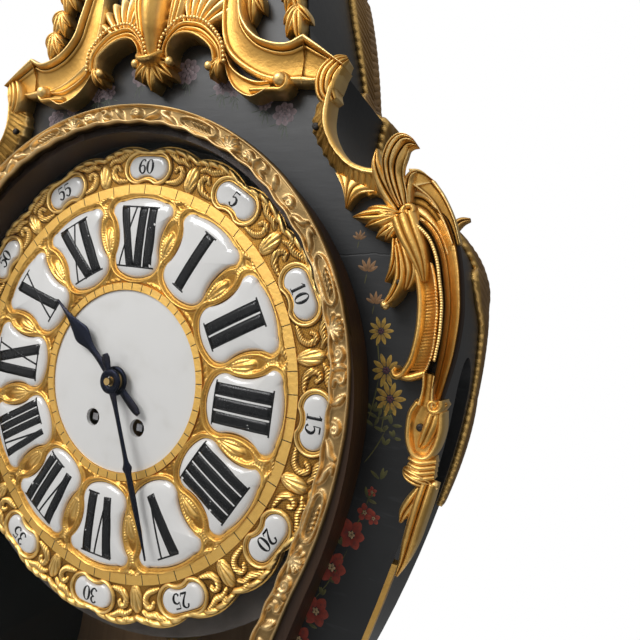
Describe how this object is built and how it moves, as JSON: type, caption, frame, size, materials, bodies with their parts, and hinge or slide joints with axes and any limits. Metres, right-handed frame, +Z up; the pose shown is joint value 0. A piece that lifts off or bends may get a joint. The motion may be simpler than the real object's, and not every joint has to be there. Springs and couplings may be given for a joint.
{
  "type": "cartel clock with bracket",
  "caption": "Waisted balloon-shaped lacquered wall clock with gilt mounts, enamel plaque dial, glazed front door and striking pendulum movement, lifting off its own wall bracket.",
  "frame": {"origin": "midway between the two wall screws, on the wall plane", "axes": "+X to the viewer's right, +Y into the wall, +Z up; the dial faces -Y"},
  "size_m": [0.3602, 0.165, 0.968],
  "materials": {
    "lacquered_wood": "black lacquer, painted flowers on the front",
    "plain_wood": "oiled oak",
    "mask_board": "dark blackened iron sheet",
    "gilt_bronze": "fire-gilt cast and chased bronze",
    "enamel": "white vitreous enamel",
    "clear_glass": "clear polished",
    "blued_steel": "blued",
    "hinge_brass": "lacquered brass",
    "movement_brass": "satin brass",
    "polished_steel": "polished",
    "bell_metal": "turned bell metal",
    "wrought_iron": "black"
  },
  "bodies": {
    "bracket": {"bracket_shelf": "lacquered_wood", "bracket_rim": "gilt_bronze", "bracket_body": "lacquered_wood", "bracket_mounts": "gilt_bronze", "bracket_drop": "gilt_bronze", "hanging_plates": "wrought_iron"},
    "case": {"case_front": "lacquered_wood", "case_side_left": "lacquered_wood", "case_side_right": "lacquered_wood", "case_floor_and_top": "plain_wood", "side_window_panes": "clear_glass", "back_board": "plain_wood", "seat_board": "plain_wood", "hood": "lacquered_wood", "finial": "gilt_bronze", "corner_mounts": "gilt_bronze", "shoulder_scrolls": "gilt_bronze", "crest_and_apron_mounts": "gilt_bronze", "edge_strips": "gilt_bronze", "feet": "gilt_bronze", "case_hinge_leaves": "hinge_brass", "hinge_pins": "polished_steel", "dial_plate": "gilt_bronze", "hour_plaques": "enamel", "minute_plaques": "enamel", "centre_enamel": "enamel", "dial_mask_board": "mask_board", "front_plate": "movement_brass", "back_plate": "movement_brass", "pillars_and_nuts": "movement_brass", "bell": "bell_metal", "bell_stand_and_nut": "polished_steel", "pendulum_cock": "movement_brass"},
    "door": {"door_frame": "lacquered_wood", "door_glass": "clear_glass", "door_bezel": "gilt_bronze", "door_hinge_straps": "hinge_brass"},
    "rear_door": {"back_door": "plain_wood", "back_hinge_door_leaves": "hinge_brass"},
    "minute": {"centre_wheel": "movement_brass", "cannon_pinion": "movement_brass", "minute_hand": "blued_steel"},
    "hour": {"hour_wheel": "movement_brass", "hour_hand": "blued_steel"},
    "minute_wheel": {"minute_wheel": "movement_brass"},
    "second_wheel": {"second_wheel": "movement_brass"},
    "going_barrel": {"going_barrel": "movement_brass"},
    "third_wheel": {"third_wheel": "movement_brass"},
    "escape_wheel": {"escape_wheel": "movement_brass"},
    "going_winding_arbor": {"going_winding_arbor": "polished_steel"},
    "strike_winding_arbor": {"strike_winding_arbor": "polished_steel"},
    "strike_barrel": {"strike_barrel": "movement_brass"},
    "pin_wheel": {"pin_wheel": "movement_brass"},
    "warning_wheel": {"warning_wheel": "movement_brass"},
    "fly": {"fly": "movement_brass"},
    "hammer": {"hammer": "polished_steel"},
    "pendulum": {"pendulum_rod_and_spring": "polished_steel", "pendulum_bob": "movement_brass"},
    "pallets": {"pallets_and_crutch": "polished_steel"},
    "rating_nut": {"rating_nut": "movement_brass"}
  },
  "joints": [
    {"name": "clock_lift", "type": "slide", "parent": "bracket", "child": "case", "axis": [0, 0, 1], "range_m": [0, 0.12]},
    {"name": "door_swing", "type": "hinge", "parent": "case", "child": "door", "pos_m": [-0.133, -0.133, 0.281], "axis": [0, 0, -1], "range_deg": [0, 110]},
    {"name": "rear_door_swing", "type": "hinge", "parent": "case", "child": "rear_door", "pos_m": [-0.082, -0.0135, 0.277], "axis": [0, 0, 1], "range_deg": [0, 110]},
    {"name": "minute_turn", "type": "hinge", "parent": "case", "child": "minute", "pos_m": [0, -0.08, 0.278], "axis": [0, 1, 0], "continuous": true},
    {"name": "hour_turn", "type": "hinge", "parent": "case", "child": "hour", "pos_m": [0, -0.08, 0.278], "axis": [0, 1, 0], "continuous": true},
    {"name": "minute_wheel_turn", "type": "hinge", "parent": "case", "child": "minute_wheel", "pos_m": [0, -0.08, 0.296], "axis": [0, 1, 0], "continuous": true},
    {"name": "second_wheel_turn", "type": "hinge", "parent": "case", "child": "second_wheel", "pos_m": [0.02395, -0.08, 0.27961], "axis": [0, 1, 0], "continuous": true},
    {"name": "going_barrel_turn", "type": "hinge", "parent": "case", "child": "going_barrel", "pos_m": [0.0145, -0.08, 0.2569], "axis": [0, 1, 0], "continuous": true},
    {"name": "third_wheel_turn", "type": "hinge", "parent": "case", "child": "third_wheel", "pos_m": [-0.00961, -0.08, 0.29378], "axis": [0, 1, 0], "continuous": true},
    {"name": "escape_wheel_turn", "type": "hinge", "parent": "case", "child": "escape_wheel", "pos_m": [0, -0.08, 0.308], "axis": [0, 1, 0], "continuous": true},
    {"name": "going_wind", "type": "hinge", "parent": "case", "child": "going_winding_arbor", "pos_m": [0.0145, -0.08, 0.2569], "axis": [0, 1, 0], "continuous": true},
    {"name": "strike_wind", "type": "hinge", "parent": "case", "child": "strike_winding_arbor", "pos_m": [-0.0145, -0.08, 0.2569], "axis": [0, 1, 0], "continuous": true},
    {"name": "strike_barrel_turn", "type": "hinge", "parent": "case", "child": "strike_barrel", "pos_m": [-0.0145, -0.08, 0.2569], "axis": [0, 1, 0], "continuous": true},
    {"name": "pin_wheel_turn", "type": "hinge", "parent": "case", "child": "pin_wheel", "pos_m": [-0.02443, -0.08, 0.2782], "axis": [0, 1, 0], "continuous": true},
    {"name": "warning_wheel_turn", "type": "hinge", "parent": "case", "child": "warning_wheel", "pos_m": [-0.03476, -0.08, 0.29294], "axis": [0, 1, 0], "continuous": true},
    {"name": "fly_turn", "type": "hinge", "parent": "case", "child": "fly", "pos_m": [-0.03239, -0.08, 0.30634], "axis": [0, 1, 0], "continuous": true},
    {"name": "hammer_swing", "type": "hinge", "parent": "case", "child": "hammer", "pos_m": [-0.046, -0.08, 0.27], "axis": [0, 1, 0], "range_deg": [-14, 0], "stiffness_Nm_per_rad": 0.02, "springref_deg": 5.73},
    {"name": "pendulum_swing", "type": "hinge", "parent": "case", "child": "pendulum", "pos_m": [0, -0.08, 0.327], "axis": [0, 1, 0], "range_deg": [-4, 4]},
    {"name": "crutch_swing", "type": "hinge", "parent": "case", "child": "pallets", "pos_m": [0, -0.08, 0.327], "axis": [0, 1, 0], "range_deg": [-4, 4]},
    {"name": "rating_turn", "type": "hinge", "parent": "pendulum", "child": "rating_nut", "pos_m": [0, -0.045, 0.1061], "axis": [0, 0, 1], "continuous": true}
  ],
  "couplings": [
    {"joint": "hour_turn", "follows": "minute_turn", "ratio": 0.083333},
    {"joint": "minute_wheel_turn", "follows": "minute_turn", "ratio": -0.33333},
    {"joint": "second_wheel_turn", "follows": "minute_turn", "ratio": -0.14286},
    {"joint": "going_barrel_turn", "follows": "minute_turn", "ratio": 0.019841},
    {"joint": "third_wheel_turn", "follows": "minute_turn", "ratio": -10},
    {"joint": "escape_wheel_turn", "follows": "minute_turn", "ratio": 120},
    {"joint": "pin_wheel_turn", "follows": "strike_barrel_turn", "ratio": -8.4},
    {"joint": "warning_wheel_turn", "follows": "strike_barrel_turn", "ratio": 75.6},
    {"joint": "fly_turn", "follows": "strike_barrel_turn", "ratio": -567},
    {"joint": "crutch_swing", "follows": "pendulum_swing", "ratio": 1}
  ]
}
